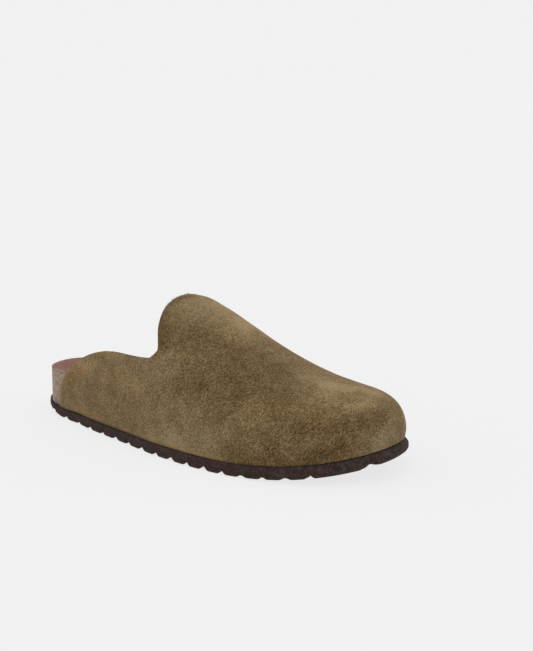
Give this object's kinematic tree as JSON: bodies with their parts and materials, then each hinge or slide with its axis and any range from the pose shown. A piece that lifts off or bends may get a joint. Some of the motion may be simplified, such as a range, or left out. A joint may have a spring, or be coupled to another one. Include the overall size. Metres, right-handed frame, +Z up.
{
  "type": "mule",
  "caption": "Backless closed-toe suede mule for the right foot, with a one-piece upper, cork footbed, dished insole and ribbed foam outsole.",
  "frame": {"origin": "on the floor, under the middle of the shoe's length and width", "axes": "+X to the toe, +Y to the inner side of the foot, +Z up"},
  "size_m": [0.284, 0.11, 0.0964],
  "materials": {
    "outsole": "dull dark brown foam rubber",
    "footbed": "sealed ground cork, matt",
    "insole": "pinkish brown suede, matt",
    "upper": "olive brown suede with a short nap"
  },
  "bodies": {
    "root": {"outsole": "outsole", "footbed": "footbed", "insole": "insole", "upper": "upper"}
  },
  "joints": []
}
